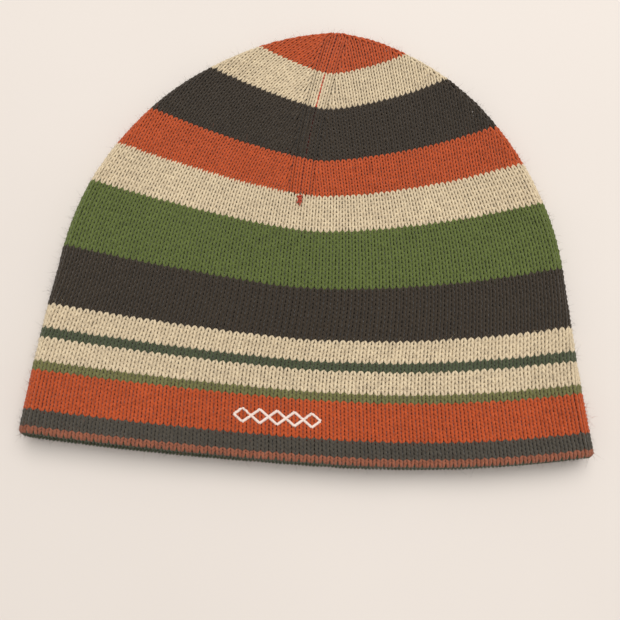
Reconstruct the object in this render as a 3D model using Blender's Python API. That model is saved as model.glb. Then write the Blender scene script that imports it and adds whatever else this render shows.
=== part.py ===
"""Knit beanie, lying flat with its front up: striped wool panels, seams, darts, hem facings and labels.

Metres, +Z up. The mouth opens towards -Y, the crown points to +Y. The origin is on the table, in the
middle of the hat's bounding box.

Every piece is cut as a flat blank in the knitting's own directions and then laid on the hat's form:
`along` runs round the hat in metres from the middle of the top layer, `rise` runs from the hem (0)
to the crown (1), and `depth` is measured outwards from the middle of the fabric.
"""

import math

import bmesh
import bpy

# Overall form
BODY_LENGTH = 0.2187          # hem to crown along the middle, lying flat
BRIM_HALF_WIDTH = 0.1218      # middle of the fabric at the folded side, at the hem
SIDE_TAPER = 0.086            # how fast the sides close in from hem to crown
DOME_LENGTH = 0.1226          # upper part, where the sides round over into the crown
DOME_POWER_UP = 1.9           # roundness of the dome, measured along its length
DOME_POWER_ACROSS = 1.6       # roundness of the dome, measured across it
COURSE_STRETCH = 0.085        # courses are this much lower at the hem and taller at the crown
HEM_SAG = 0.0075              # how far the middle of the hem hangs below its corners
CROWN_SAG = 0.0205            # extra dip of the courses towards the darts
SAG_PEAK = 6.75               # makes that dip reach its full size, two thirds of the way up
SAG_POWER = 1.5               # shape of that dip across the hat
SHOULDER = 0.0044             # half width that is left at the very top

# Fabric and the space between the two layers
FABRIC = 0.0024               # thickness of the knitted wool
FACING = 0.0016               # thickness of the hem facing
MOUTH_GAP = 0.0055            # open height between the two facings
CROWN_CLEARANCE = 0.0006      # half the space between the layers at the crown
CROWN_BULGE = 0.0045          # how far the front stands up in the middle
ROLL = 0.0084                 # the tube is rolled this far to the left before it is laid down
ROLL_FADE_START = 0.6         # rise above which that roll dies out towards the crown
SEAM_ROLL = 0.0034            # the side seams keep only this much of the roll above the hem
SEAM_TURN_RISE = (0.12, 0.36)  # between these rises the seams slip back to the fold
GAP = 0.0003                  # clearance between pieces that touch
STRIPE_CLEARANCE = 0.00018    # each stripe stops this far short of the line to the next one

# Seams, darts and trim
SEAM_WIDTH = 0.0016
SEAM_HALF_DEPTH = 0.0007      # the linked edges lie in a groove between the panels
THREAD_WIDTH = 0.0012
TACK_RADIUS = 0.0013
TACK_BELOW_DART = 0.0026
KNOT_HALF_WIDTH = 0.0040
KNOT_HALF_LENGTH = 0.0011
KNOT_HALF_HEIGHT = 0.0024
FACING_COURSES = 6
FACING_OVERHANG = 0.0008
LINKING_WIDTH = 0.0008
LINKING_THICKNESS = 0.0007
MOTIF_DIAMONDS = 5
MOTIF_PITCH = 0.0074
MOTIF_HEIGHT = 0.0068
MOTIF_STROKE = 0.0011
MOTIF_NECK = 0.0012
MOTIF_THICKNESS = 0.0007
MOTIF_OFFSET = -0.0032        # from the middle of the front panel, to the left
MOTIF_COURSE = 10.6
BACKING_MARGIN = 0.0035
BACKING_THICKNESS = 0.0004
LABEL_THICKNESS = 0.0005
MAIN_LABEL_SIZE = (0.042, 0.014)
MAIN_LABEL_COURSE = 10
CARE_LABEL_SIZE = (0.034, 0.018)
CARE_LABEL_COURSE = 18
CARE_LABEL_SEAM_CLEARANCE = 0.0022
STITCH_WIDTH = 0.0008
STITCH_THICKNESS = 0.0004
STITCH_INSET = 0.0015

# Stripes from the hem up: name, courses, yarn
STRIPES = [
    ("rust_edge", 2, "rust"),
    ("charcoal_border", 4, "charcoal"),
    ("lower_orange", 10, "orange"),
    ("light_green_line", 2, "light_green"),
    ("lower_ecru", 5, "ecru"),
    ("dark_green_line", 2, "dark_green"),
    ("middle_ecru", 5, "ecru"),
    ("brown_band", 12, "brown"),
    ("green_band", 13, "green"),
    ("upper_ecru", 8, "ecru"),
    ("upper_orange", 10, "orange"),
    ("charcoal_band", 14, "brown"),
    ("crown_ecru", 10, "ecru"),
    ("crown_orange", 11, "orange"),
]
DART_STRIPE = "upper_orange"  # the lowest stripe that the darts cut
COURSES = sum(courses for _, courses, _ in STRIPES)

# Yarns and trims: colour as sRGB 0-255, roughness
FINISHES = {
    "rust": ((144, 88, 66), 0.9),
    "charcoal": ((74, 69, 61), 0.9),
    "orange": ((178, 78, 38), 0.9),
    "light_green": ((109, 108, 67), 0.9),
    "ecru": ((206, 190, 158), 0.9),
    "dark_green": ((72, 79, 58), 0.9),
    "brown": ((55, 47, 38), 0.9),
    "green": ((89, 101, 50), 0.9),
    "red_thread": ((182, 72, 50), 0.75),
    "white_thread": ((232, 220, 214), 0.5),
    "backing": ((222, 222, 218), 0.85),
    "label": ((228, 226, 220), 0.55),
}

# How finely the pieces are cut up
PANEL_COLUMNS = 24
HALF_COLUMNS = 12
COURSES_PER_ROW = 2.5
CROWN_ROWS = 8


# --- the hat's form -------------------------------------------------------------------------


def overall_length():
    """From the front facing's lower edge to the top of the crown knot."""
    return FACING_OVERHANG + BODY_LENGTH + GAP + 2 * KNOT_HALF_LENGTH


def hem_y():
    """The middle of the hem's lower edge, with the whole hat centred on the origin."""
    return FACING_OVERHANG - overall_length() / 2


def middle_y(rise):
    """Height of a course where it crosses the middle of the hat."""
    return hem_y() + BODY_LENGTH * rise * (1 - COURSE_STRETCH * (1 - rise))


def sag(rise):
    """How far the middle of a course lies below its ends."""
    dip = SAG_PEAK * rise * rise * (1 - rise)
    return HEM_SAG * (1 - rise) + CROWN_SAG * dip if rise > 0 else HEM_SAG


def half_width(rise):
    """From the middle to the fabric's fold at the side, at this course."""
    y = middle_y(rise) + sag(rise)
    corner = hem_y() + HEM_SAG
    top = middle_y(1.0)
    tapered = BRIM_HALF_WIDTH - SIDE_TAPER * (y - corner)
    up = max(0.0, (y - top + DOME_LENGTH) / DOME_LENGTH)
    rounded = max(0.0, 1 - min(1.0, up) ** DOME_POWER_UP) ** (1 / DOME_POWER_ACROSS)
    return max(SHOULDER, tapered * rounded)


def fold_radius(rise):
    """Radius of the side fold: half the distance between the two layers."""
    hem = FABRIC / 2 + GAP + FACING + MOUTH_GAP / 2
    crown = FABRIC / 2 + CROWN_CLEARANCE
    return hem + (crown - hem) * rise * rise


def bulge(rise):
    """How far the front stands above its lowest possible place."""
    return CROWN_BULGE * math.sin(math.pi * min(1.0, max(0.0, rise)))


def crown_fade(rise):
    """1 over most of the hat, falling to 0 at the crown, where all the lines meet."""
    fade = max(0.0, (rise - ROLL_FADE_START) / (1 - ROLL_FADE_START))
    return 1 - fade * fade


def roll(rise):
    """How far the middle of the front panel has moved to the left."""
    return ROLL * crown_fade(rise)


def seam_roll(rise):
    """How far the side seams have moved away from the outermost point of the fold."""
    start, end = SEAM_TURN_RISE
    back = min(1.0, max(0.0, (rise - start) / (end - start)))
    back = back * back * (3 - 2 * back)
    return (ROLL + (SEAM_ROLL - ROLL) * back) * crown_fade(rise)


def flat_run(rise):
    """Straight part of half a layer, from the middle to where the fold begins."""
    return half_width(rise) - fold_radius(rise)


def quarter(rise):
    """Way round the hat from the middle of a layer to the outermost point of the fold."""
    return flat_run(rise) + fold_radius(rise) * math.pi / 2


def lay(along, rise, depth):
    """The point of the lying hat for a place in the knitting."""
    run = flat_run(rise)
    radius = fold_radius(rise)
    around = 4 * quarter(rise)
    along = (along + around / 2) % around - around / 2
    side = math.copysign(1.0, along)
    distance = abs(along)
    turn = min(max((distance - run) / radius, 0.0), math.pi)
    past = max(0.0, distance - run - math.pi * radius)
    straight = min(distance, run) - past
    x = side * (straight + (radius + depth) * math.sin(turn))
    z = FABRIC / 2 + radius + (radius + depth) * math.cos(turn)
    share = abs(x) / half_width(rise)
    if turn < math.pi / 2:
        z += bulge(rise) * max(0.0, 1 - share * share) ** 2
    y = middle_y(rise) + sag(rise) * share ** SAG_POWER
    return x, y, z


# --- lines in the knitting ------------------------------------------------------------------


def front_middle(rise):
    return -roll(rise)


def back_middle(rise):
    return 2 * quarter(rise) - roll(rise)


def right_seam(rise):
    return quarter(rise) - seam_roll(rise)


def left_seam_front(rise):
    return -quarter(rise) - seam_roll(rise)


def left_seam_back(rise):
    return 3 * quarter(rise) - seam_roll(rise)


def beside(line, distance):
    """A line at a set distance from another one."""
    return lambda rise: line(rise) + distance


def rise_of(course, shift=0.0):
    """The rise of a course's lower edge, moved up by a distance in metres."""
    rise = course / COURSES
    slope = BODY_LENGTH * (1 - COURSE_STRETCH + 2 * COURSE_STRETCH * rise)
    return rise + shift / slope


def steps(start, end, count):
    return [start + (end - start) * i / count for i in range(count + 1)]


def crowded(count, both_ends):
    """Shares from 0 to 1 that lie closer together where the fabric folds."""
    if both_ends:
        return [(1 - math.cos(math.pi * i / count)) / 2 for i in range(count + 1)]
    return [1 - math.cos(math.pi / 2 * i / count) for i in range(count + 1)]


def stripe_rows(first, last):
    """Rises of a stripe's rows, clear of its neighbours; they crowd at the crown."""
    low = rise_of(first, STRIPE_CLEARANCE) if first > 0 else 0.0
    if last == COURSES:
        return [low + (1 - low) * math.sin(math.pi / 2 * i / CROWN_ROWS) for i in range(CROWN_ROWS + 1)]
    return steps(low, rise_of(last, -STRIPE_CLEARANCE), max(2, round((last - first) / COURSES_PER_ROW)))


# --- making pieces --------------------------------------------------------------------------


def linear(colour):
    return [((c / 255 + 0.055) / 1.055) ** 2.4 if c > 10 else c / 255 / 12.92 for c in colour]


def finish(name):
    material = bpy.data.materials.get(name)
    if material is None:
        colour, roughness = FINISHES[name]
        material = bpy.data.materials.new(name)
        material.use_nodes = True
        shader = material.node_tree.nodes["Principled BSDF"]
        shader.inputs["Base Color"].default_value = linear(colour) + [1.0]
        shader.inputs["Roughness"].default_value = roughness
        shader.inputs["Metallic"].default_value = 0.0
    return material


def add_object(name, bm, yarn):
    bmesh.ops.recalc_face_normals(bm, faces=bm.faces[:])
    if bm.calc_volume(signed=True) < 0:
        bmesh.ops.reverse_faces(bm, faces=bm.faces[:])
    mesh = bpy.data.meshes.new(name)
    bm.to_mesh(mesh)
    bm.free()
    mesh.materials.append(finish(yarn))
    piece = bpy.data.objects.new(name, mesh)
    bpy.context.collection.objects.link(piece)
    return piece


def laid_piece(name, yarn, left, right, shares, rises, depths):
    """A blank between two lines of the knitting, laid on the hat."""
    columns = len(shares) - 1
    rows = len(rises) - 1
    bm = bmesh.new()
    bmesh.ops.create_grid(bm, x_segments=columns, y_segments=rows, size=0.5)
    raised = bmesh.ops.extrude_face_region(bm, geom=bm.faces[:])["geom"]
    top = [part for part in raised if isinstance(part, bmesh.types.BMVert)]
    bmesh.ops.translate(bm, verts=top, vec=(0, 0, 1))
    for vert in bm.verts:
        rise = rises[round((vert.co.y + 0.5) * rows)]
        share = shares[round((vert.co.x + 0.5) * columns)]
        depth = depths[1] if vert.co.z > 0.5 else depths[0]
        vert.co = lay(left(rise) + share * (right(rise) - left(rise)), rise, depth)
    return add_object(name, bm, yarn)


def ball(name, yarn, centre, half_sizes):
    bm = bmesh.new()
    bmesh.ops.create_icosphere(bm, subdivisions=2, radius=1.0)
    bmesh.ops.scale(bm, verts=bm.verts[:], vec=half_sizes)
    bmesh.ops.translate(bm, verts=bm.verts[:], vec=centre)
    return add_object(name, bm, yarn)


# --- the two panels -------------------------------------------------------------------------


def panel_stripes(side, left, middle, right):
    """One panel's stripes; above the foot of the dart each stripe is two halves."""
    body = (-FABRIC / 2, FABRIC / 2)
    at_seam = SEAM_WIDTH / 2 + GAP
    at_dart = THREAD_WIDTH / 2 + GAP
    inward = math.copysign(1.0, right(0.5) - left(0.5))
    low = beside(left, inward * at_seam)
    high = beside(right, -inward * at_seam)
    darted = False
    course = 0
    for name, courses, yarn in STRIPES:
        rises = stripe_rows(course, course + courses)
        darted = darted or name == DART_STRIPE
        title = f"{side}_{name}"
        if darted:
            shares = crowded(HALF_COLUMNS, both_ends=False)
            inner = beside(middle, -inward * at_dart)
            laid_piece(f"{title}_left", yarn, low, inner, shares, rises, body)
            inner = beside(middle, inward * at_dart)
            laid_piece(f"{title}_right", yarn, high, inner, shares, rises, body)
        else:
            shares = crowded(PANEL_COLUMNS, both_ends=True)
            laid_piece(title, yarn, low, high, shares, rises, body)
        course += courses


def dart_foot():
    """The course where the darts begin."""
    names = [name for name, _, _ in STRIPES]
    return sum(courses for _, courses, _ in STRIPES[: names.index(DART_STRIPE)])


def rows_from(foot):
    """Rows of every stripe from a course up, for a line that runs past them all."""
    rises = []
    course = 0
    for _, courses, _ in STRIPES:
        if course >= foot:
            rises += stripe_rows(course, course + courses)
        course += courses
    return rises


def dart(side, middle):
    """Linking thread in the dart, and the bar tack that ends it."""
    half = THREAD_WIDTH / 2
    depths = (-SEAM_HALF_DEPTH, SEAM_HALF_DEPTH)
    ends = (beside(middle, -half), beside(middle, half))
    laid_piece(f"{side}_dart_thread", "red_thread", *ends, [0, 1], rows_from(dart_foot()), depths)
    rise = rise_of(dart_foot(), -TACK_BELOW_DART)
    lift = FABRIC / 2 + GAP + TACK_RADIUS
    if side == "back":  # the back rests on the table, so its tack is inside
        lift = -lift
    ball(f"{side}_dart_tack", "red_thread", lay(middle(rise), rise, lift), [TACK_RADIUS] * 3)


def side_seam(name, line):
    """The two panels' edges, taken together and linked."""
    half = SEAM_WIDTH / 2
    depths = (-SEAM_HALF_DEPTH, SEAM_HALF_DEPTH)
    ends = (beside(line, -half), beside(line, half))
    laid_piece(name, "charcoal", *ends, [0, 0.5, 1], rows_from(0), depths)


def hem(side, left, right):
    """Facing turned up inside the hem, and the thread that links its upper edge to the panel."""
    inward = math.copysign(1.0, right(0.0) - left(0.0))
    low = beside(left, inward * (SEAM_WIDTH / 2 + GAP))
    high = beside(right, -inward * (SEAM_WIDTH / 2 + GAP))
    shares = crowded(PANEL_COLUMNS, both_ends=True)
    outer = -FABRIC / 2 - GAP
    top = rise_of(FACING_COURSES)
    rises = steps(rise_of(0, -FACING_OVERHANG), top, 4)
    laid_piece(f"{side}_hem_facing", "dark_green", low, high, shares, rises, (outer - FACING, outer))
    start = rise_of(FACING_COURSES, GAP)
    rises = [start, rise_of(FACING_COURSES, GAP + LINKING_WIDTH)]
    depths = (outer - LINKING_THICKNESS, outer)
    laid_piece(f"{side}_hem_linking", "dark_green", low, high, shares, rises, depths)


# --- trim -----------------------------------------------------------------------------------


def motif():
    """Embroidered row of open diamonds, joined at their side points, on the lower orange stripe."""
    bm = bmesh.new()
    half = MOTIF_PITCH / 2
    tall = MOTIF_HEIGHT / 2
    neck = MOTIF_NECK / 2
    slant = math.hypot(half, tall)
    hole_x = half - MOTIF_STROKE * slant / tall
    hole_y = tall - MOTIF_STROKE * slant / half
    for i in range(MOTIF_DIAMONDS):
        centre = (i - (MOTIF_DIAMONDS - 1) / 2) * MOTIF_PITCH
        outline = [(-half, -neck), (-half, neck), (0, tall), (half, neck), (half, -neck), (0, -tall)]
        outer = [bm.verts.new((centre + x, y, 0)) for x, y in outline]
        hole = [(-hole_x, 0), (0, hole_y), (hole_x, 0), (0, -hole_y)]
        inner = [bm.verts.new((centre + x, y, 0)) for x, y in hole]
        bm.faces.new([outer[1], outer[0], inner[0]])
        bm.faces.new([outer[2], outer[1], inner[0], inner[1]])
        bm.faces.new([outer[3], outer[2], inner[1], inner[2]])
        bm.faces.new([outer[4], outer[3], inner[2]])
        bm.faces.new([outer[5], outer[4], inner[2], inner[3]])
        bm.faces.new([outer[0], outer[5], inner[3], inner[0]])
    bmesh.ops.remove_doubles(bm, verts=bm.verts[:], dist=GAP / 10)
    raised = bmesh.ops.extrude_face_region(bm, geom=bm.faces[:])["geom"]
    top = [part for part in raised if isinstance(part, bmesh.types.BMVert)]
    bmesh.ops.translate(bm, verts=top, vec=(0, 0, MOTIF_THICKNESS))
    surface = FABRIC / 2 + GAP
    for vert in bm.verts:
        rise = rise_of(MOTIF_COURSE, vert.co.y)
        vert.co = lay(front_middle(rise) + MOTIF_OFFSET + vert.co.x, rise, surface + vert.co.z)
    return add_object("embroidered_motif", bm, "white_thread")


def patch(name, yarn, middle, centre_course, size, depths, columns=4):
    """A flat rectangle of cloth, sewn on at a course and centred on a line."""
    rises = [rise_of(centre_course, -size[1] / 2), rise_of(centre_course, size[1] / 2)]
    ends = (beside(middle, -size[0] / 2), beside(middle, size[0] / 2))
    return laid_piece(name, yarn, *ends, steps(0, 1, columns), rises, depths)


def embroidery_backing():
    size = (MOTIF_DIAMONDS * MOTIF_PITCH + 2 * BACKING_MARGIN, MOTIF_HEIGHT + 2 * BACKING_MARGIN)
    outer = -FABRIC / 2 - GAP
    line = beside(front_middle, MOTIF_OFFSET)
    depths = (outer - BACKING_THICKNESS, outer)
    patch("embroidery_backing", "backing", line, MOTIF_COURSE, size, depths)


def box(name, yarn, low, high):
    """A straight plate between two corners."""
    bm = bmesh.new()
    bmesh.ops.create_cube(bm, size=1.0)
    size = [b - a for a, b in zip(low, high)]
    centre = [(a + b) / 2 for a, b in zip(low, high)]
    bmesh.ops.scale(bm, verts=bm.verts[:], vec=size)
    bmesh.ops.translate(bm, verts=bm.verts[:], vec=centre)
    return add_object(name, bm, yarn)


def main_label():
    """Woven label on the inside of the back, held by a stitch line along its upper edge."""
    rise = rise_of(MAIN_LABEL_COURSE)
    x, y, _ = lay(back_middle(rise), rise, 0.0)
    wide, tall = MAIN_LABEL_SIZE
    z = FABRIC + GAP
    low = (x - wide / 2, y, z)
    high = (x + wide / 2, y + tall, z + LABEL_THICKNESS)
    box("main_label", "label", low, high)
    stitch_low = (low[0] + STITCH_INSET, high[1] - STITCH_INSET - STITCH_WIDTH, high[2] + GAP)
    stitch_high = (high[0] - STITCH_INSET, high[1] - STITCH_INSET, high[2] + GAP + STITCH_THICKNESS)
    box("main_label_stitches", "white_thread", stitch_low, stitch_high)


def care_label():
    """Printed-ribbon label sewn in at the left seam; it can be lifted about its sewn edge."""
    rise = rise_of(CARE_LABEL_COURSE)
    x, y, _ = lay(left_seam_back(rise), rise, 0.0)
    long, wide = CARE_LABEL_SIZE
    z = FABRIC + GAP
    start = x + SEAM_WIDTH / 2 + CARE_LABEL_SEAM_CLEARANCE
    low = (start, y, z)
    high = (start + long, y + wide, z + LABEL_THICKNESS)
    label = box("care_label", "label", low, high)
    stitch_high = (start - GAP, high[1] - STITCH_INSET, z + STITCH_THICKNESS)
    stitch_low = (stitch_high[0] - STITCH_WIDTH, low[1] + STITCH_INSET, z)
    box("care_label_stitches", "white_thread", stitch_low, stitch_high)
    # The label's own origin is on the edge it is sewn along, where it swings.
    hinge = (start, y + wide / 2, z + LABEL_THICKNESS / 2)
    for vert in label.data.vertices:
        vert.co = [c - h for c, h in zip(vert.co, hinge)]
    label.location = hinge


def crown_knot():
    """Gathered end of the darts and side seams at the top of the crown."""
    centre = (0.0, middle_y(1.0) + GAP + KNOT_HALF_LENGTH, FABRIC / 2 + fold_radius(1.0))
    half_sizes = (KNOT_HALF_WIDTH, KNOT_HALF_LENGTH, KNOT_HALF_HEIGHT)
    ball("crown_knot", "red_thread", centre, half_sizes)


def build():
    for old in list(bpy.data.objects):
        bpy.data.objects.remove(old, do_unlink=True)
    panel_stripes("front", left_seam_front, front_middle, right_seam)
    panel_stripes("back", left_seam_back, back_middle, right_seam)
    dart("front", front_middle)
    dart("back", back_middle)
    side_seam("right_side_seam", right_seam)
    side_seam("left_side_seam", left_seam_front)
    hem("front", left_seam_front, right_seam)
    hem("back", left_seam_back, right_seam)
    motif()
    embroidery_backing()
    main_label()
    care_label()
    crown_knot()


build()
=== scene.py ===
import math

import bpy
import numpy as np
from mathutils import Matrix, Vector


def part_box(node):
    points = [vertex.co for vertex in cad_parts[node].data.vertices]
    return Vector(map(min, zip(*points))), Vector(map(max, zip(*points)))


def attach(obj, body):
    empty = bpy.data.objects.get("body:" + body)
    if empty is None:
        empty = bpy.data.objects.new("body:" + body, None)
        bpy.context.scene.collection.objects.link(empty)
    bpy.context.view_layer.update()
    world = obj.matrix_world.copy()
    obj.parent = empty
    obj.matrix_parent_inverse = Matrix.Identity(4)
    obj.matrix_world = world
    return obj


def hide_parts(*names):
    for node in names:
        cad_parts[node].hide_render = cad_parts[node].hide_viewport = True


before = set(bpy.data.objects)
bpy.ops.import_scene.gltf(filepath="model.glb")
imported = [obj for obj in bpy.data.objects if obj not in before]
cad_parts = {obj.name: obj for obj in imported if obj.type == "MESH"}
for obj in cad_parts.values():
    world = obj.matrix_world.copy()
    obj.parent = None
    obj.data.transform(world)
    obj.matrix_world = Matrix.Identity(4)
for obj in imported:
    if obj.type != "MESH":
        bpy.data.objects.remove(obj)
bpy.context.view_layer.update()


# --- Table, lamp and camera -------------------------------------------------------------------
# A pale painted table top, a large soft lamp high up beyond the crown and a little to the right,
# and a camera that stands at the mouth end of the hat and looks down on it.

TABLE_SIDE = 2.4
TABLE_COLOUR = (217, 210, 204)
TABLE_CLOUD = 5               # how much darker its faint clouds are
LAMP_SIZE = (1.7, 1.36)
LAMP_POINT = (0.24, 0.62, 1.52)
LENS = 36.93
CAMERA_POINT = (0.00373, -0.11780, 0.28677)
CAMERA_TILT = 14.943          # degrees away from looking straight down
CAMERA_TURN = 4.847
CAMERA_ROLL = -0.468


def linear(colour):
    """Colour as sRGB 0-255 to the linear numbers a shader takes."""
    return [((c / 255 + 0.055) / 1.055) ** 2.4 if c > 10 else c / 255 / 12.92 for c in colour]


def deselect():
    for other in bpy.context.selected_objects:
        other.select_set(False)


def new_material(name):
    material = bpy.data.materials.new(name)
    material.use_nodes = True
    return material, material.node_tree.nodes, material.node_tree.links


def noise(nodes, scale, detail):
    texture = nodes.new("ShaderNodeTexNoise")
    texture.inputs["Scale"].default_value = scale
    texture.inputs["Detail"].default_value = detail
    return texture


def ramp_of(nodes, *stops):
    """A colour ramp through two or three stops, each a position and a linear colour."""
    ramp = nodes.new("ShaderNodeValToRGB")
    if len(stops) > 2:
        ramp.color_ramp.elements.new(0.5)
    for element, (position, colour) in zip(ramp.color_ramp.elements, stops):
        element.position = position
        element.color = [*colour, 1]
    return ramp


def arithmetic(nodes, operation, factor=None):
    node = nodes.new("ShaderNodeMath")
    node.operation = operation
    if factor is not None:
        node.inputs[1].default_value = factor
    return node


def add_bump(nodes, links, height, shader, strength, distance):
    bump = nodes.new("ShaderNodeBump")
    bump.inputs["Strength"].default_value = strength
    bump.inputs["Distance"].default_value = distance
    links.new(height, bump.inputs["Height"])
    links.new(bump.outputs["Normal"], shader.inputs["Normal"])


def table_paint():
    material, nodes, links = new_material("table_paint")
    shader = nodes["Principled BSDF"]
    shader.inputs["Roughness"].default_value = 0.55
    shader.inputs["Specular IOR Level"].default_value = 0.3
    place = nodes.new("ShaderNodeTexCoord")
    cloud = noise(nodes, 3.0, 4.0)
    clouded = linear([c - TABLE_CLOUD for c in TABLE_COLOUR])
    ramp = ramp_of(nodes, (0.3, clouded), (0.7, linear(TABLE_COLOUR)))
    links.new(place.outputs["Object"], cloud.inputs["Vector"])
    links.new(cloud.outputs["Fac"], ramp.inputs["Fac"])
    links.new(ramp.outputs["Color"], shader.inputs["Base Color"])
    return material


deselect()
bpy.ops.mesh.primitive_plane_add(size=TABLE_SIDE, location=(0, 0, 0))
table = bpy.context.object
table.name = "table_top"
table.data.materials.append(table_paint())

lamp = bpy.data.lights.new("soft_lamp", "AREA")
lamp.shape = "RECTANGLE"
lamp.size, lamp.size_y = LAMP_SIZE
lamp.energy = 23.8
lamp.color = (1.0, 0.972, 0.938)
lamp_object = bpy.data.objects.new("soft_lamp", lamp)
lamp_object.location = LAMP_POINT
lamp_object.rotation_euler = (-lamp_object.location).to_track_quat("-Z", "Y").to_euler()
bpy.context.collection.objects.link(lamp_object)

world = bpy.data.worlds.new("room")
world.use_nodes = True
world.node_tree.nodes["Background"].inputs["Color"].default_value = (1.0, 0.975, 0.945, 1)
world.node_tree.nodes["Background"].inputs["Strength"].default_value = 0.66
bpy.context.scene.world = world
bpy.context.scene.view_settings.view_transform = "Standard"

camera_data = bpy.data.cameras.new("camera")
camera_data.lens = LENS
camera_data.sensor_width = 36.0
camera_data.clip_start = 0.01
camera = bpy.data.objects.new("camera", camera_data)
camera.matrix_world = (Matrix.Translation(CAMERA_POINT)
                       @ Matrix.Rotation(math.radians(CAMERA_TURN), 4, "Z")
                       @ Matrix.Rotation(math.radians(CAMERA_TILT), 4, "X")
                       @ Matrix.Rotation(math.radians(CAMERA_ROLL), 4, "Z"))
bpy.context.collection.objects.link(camera)
bpy.context.scene.camera = camera


# --- Knitted panels ---------------------------------------------------------------------------
# The front and the back are flat-knitted in stockinette from soft two-ply wool, stripe by
# stripe, 78 wales wide. Each course here is one real yarn, bent into its row of loops, and the
# panels are shaped by leaving out a wale beside the dart every few courses.

BODY_LENGTH = 0.2164          # hem to crown along the middle, as it lies
NOMINAL_LENGTH = 0.2187       # the frame's hat is this long; it is centred on the table by it
BRIM_HALF_WIDTH = 0.1227      # middle of the fabric at the folded side, at the hem
SIDE_TAPER = 0.0877           # how fast the sides close in towards the crown
DOME_LENGTH = 0.1294          # upper part, where the sides round over into the crown
DOME_POWER_UP = 2.158         # roundness of the dome along its length, and across it
DOME_POWER_ACROSS = 1.706
COURSE_STRETCH = 0.085        # courses are this much lower at the hem and taller at the crown
HEM_SAG = (0.0034, 0.0122)    # left, right: the hem hangs more freely on the right
HEM_SAG_POWER = 2.19
CROWN_SAG = (0.0236, 0.0238)  # left, right: how far the courses dip towards the dart
CROWN_SAG_POWER = (1.287, 1.329)
CROWN_SAG_PEAK = 2.14         # makes that dip reach its full size two thirds of the way up
CROWN_FLAT = 0.028            # beside the dart the courses run straight
LEAN = (-0.0169, 0.0173)      # the hat lies a little askew, bowed to the left
SHOULDER = 0.0044             # half width that is left at the very top
FABRIC = 0.0024               # thickness of the knitting, and of the facing in the hem
FACING = 0.0016
MOUTH_GAP = 0.0055            # open height between the two facings
CROWN_CLEARANCE = 0.0006      # half the space between the layers at the crown
CROWN_BULGE = 0.0045          # how far the front stands up in the middle
DART_ROLL = 0.0072            # the tube is rolled this far to the left before it is laid down
ROLL_FADE_START = 0.6         # from this rise up the rolls fade out towards the crown
SEAM_ROLL = (0.0084, 0.0034)  # the side seams: at the hem, and higher up
SEAM_TURN_RISE = (0.12, 0.36) # they go from the one to the other between these
GAP = 0.0003                  # between pieces that lie against each other
FACING_OVERHANG = 0.0008
KNOT_HALF_LENGTH = 0.0011
HEM_Y = -(NOMINAL_LENGTH + GAP + 2 * KNOT_HALF_LENGTH - FACING_OVERHANG) / 2
BACK_DROP = 0.0012            # the lower layer's hem shows below the upper one on the left
BACK_DROP_RISE = 0.08         # and this far up the hat the two lie level again

# Stripes from the hem up: name, courses, yarn, and how tall the yarn knits up. The charcoal band
# is knitted from the brown band's dark yarn.
STRIPES = [
    ("rust_edge", 2, "rust", 0.612),
    ("charcoal_border", 4, "charcoal", 0.961),
    ("lower_orange", 10, "orange", 0.849),
    ("light_green_line", 2, "light_green", 0.948),
    ("lower_ecru", 5, "ecru", 0.977),
    ("dark_green_line", 2, "dark_green", 1.010),
    ("middle_ecru", 5, "ecru", 0.961),
    ("brown_band", 12, "brown", 1.000),
    ("green_band", 13, "green", 1.070),
    ("upper_ecru", 8, "ecru", 1.110),
    ("upper_orange", 10, "orange", 0.925),
    ("charcoal_band", 14, "brown", 1.006),
    ("crown_ecru", 10, "ecru", 1.015),
    ("crown_orange", 11, "orange", 1.143),
]
DART_STRIPE = "upper_orange"
WALES = 78
DART_WALES = 2                # wales that run beside the dart, outside the line of decreases
# How far the wales above the dart's foot lean with the side seam, instead of with the dart
WALE_TILT = {"front_left": 0.5, "front_right": 0.3, "back_left": 0.4, "back_right": 0.4}
SEAM_WIDTH = 0.0002
DART_GAP = 0.0003
NARROWEST_WALE = 0.6          # beside an edge a wale is at least this share of a full one
WIDEST_YARN = 1.35            # and past this share its yarn grows no thicker

LOOP_LEAN = 1.20              # sideways swing of the yarn in a loop; 2 pi is one wale
LOOP_HEIGHT = 1.0             # half height of a loop, in courses
LEG_SWELL = 0.12              # the legs are this much thicker than the yarn, the arcs thinner
LEG_OVERLAP = 0.00009         # each leg's foot lies this far in front of the leg below it
LEG_DEPTH = 0.00042           # how far the legs stand in front of the middle of the fabric
ARC_DEPTH = 0.00066           # how far the arcs between them lie behind it
YARN_ACROSS = 0.205           # half width of the yarn, as a share of a wale
YARN_DEPTH = 0.00050          # half thickness of the yarn
YARN_TWIST = 1150.0           # turn of the plies along the yarn, in radians per metre
UNEVEN_SIDEWAYS = 0.02        # how far loops differ: in wales, courses, metres and shares
UNEVEN_HEIGHT = 0.03
UNEVEN_DEPTH = 0.00006
UNEVEN_THICKNESS = 0.05
HAIR_LENGTH = 0.0042          # the longest of the loose hairs
SHORTEST_HAIR = 0.25          # as a share of the longest
HAIR_RADIUS = 0.000045
HAIR_TAPER = 0.75             # a hair's tip is this share thinner than its root
HAIR_CURL = 0.45              # and bends aside by this share of its length
HAIR_FLOOR = 0.00005          # the hairs stay this far above the table
GROOVE_DEPTH = 0.0005         # the fashioning marks beside the darts sink this far
GROOVE_WIDTH = 0.14           # in wales
GROOVE_THINNING = 0.4         # the yarn is drawn this much thinner in them
FOLD_HAIRS = 12               # extra hairs at each end of a course, over so many wales
FOLD_WALES = 5
HEM_WEAR = 1.6                # the hem's first two courses have so many times the loose hairs
SETTLE = 0.00055              # height of the upper layer's soft undulations
SETTLE_FROM = 0.006           # the upper layer lies above this height
HEM_RADIUS = 0.00115          # the panel bends round the hem on this radius
HEM_TURN = 0.5                # course position where it starts to bend
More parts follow.
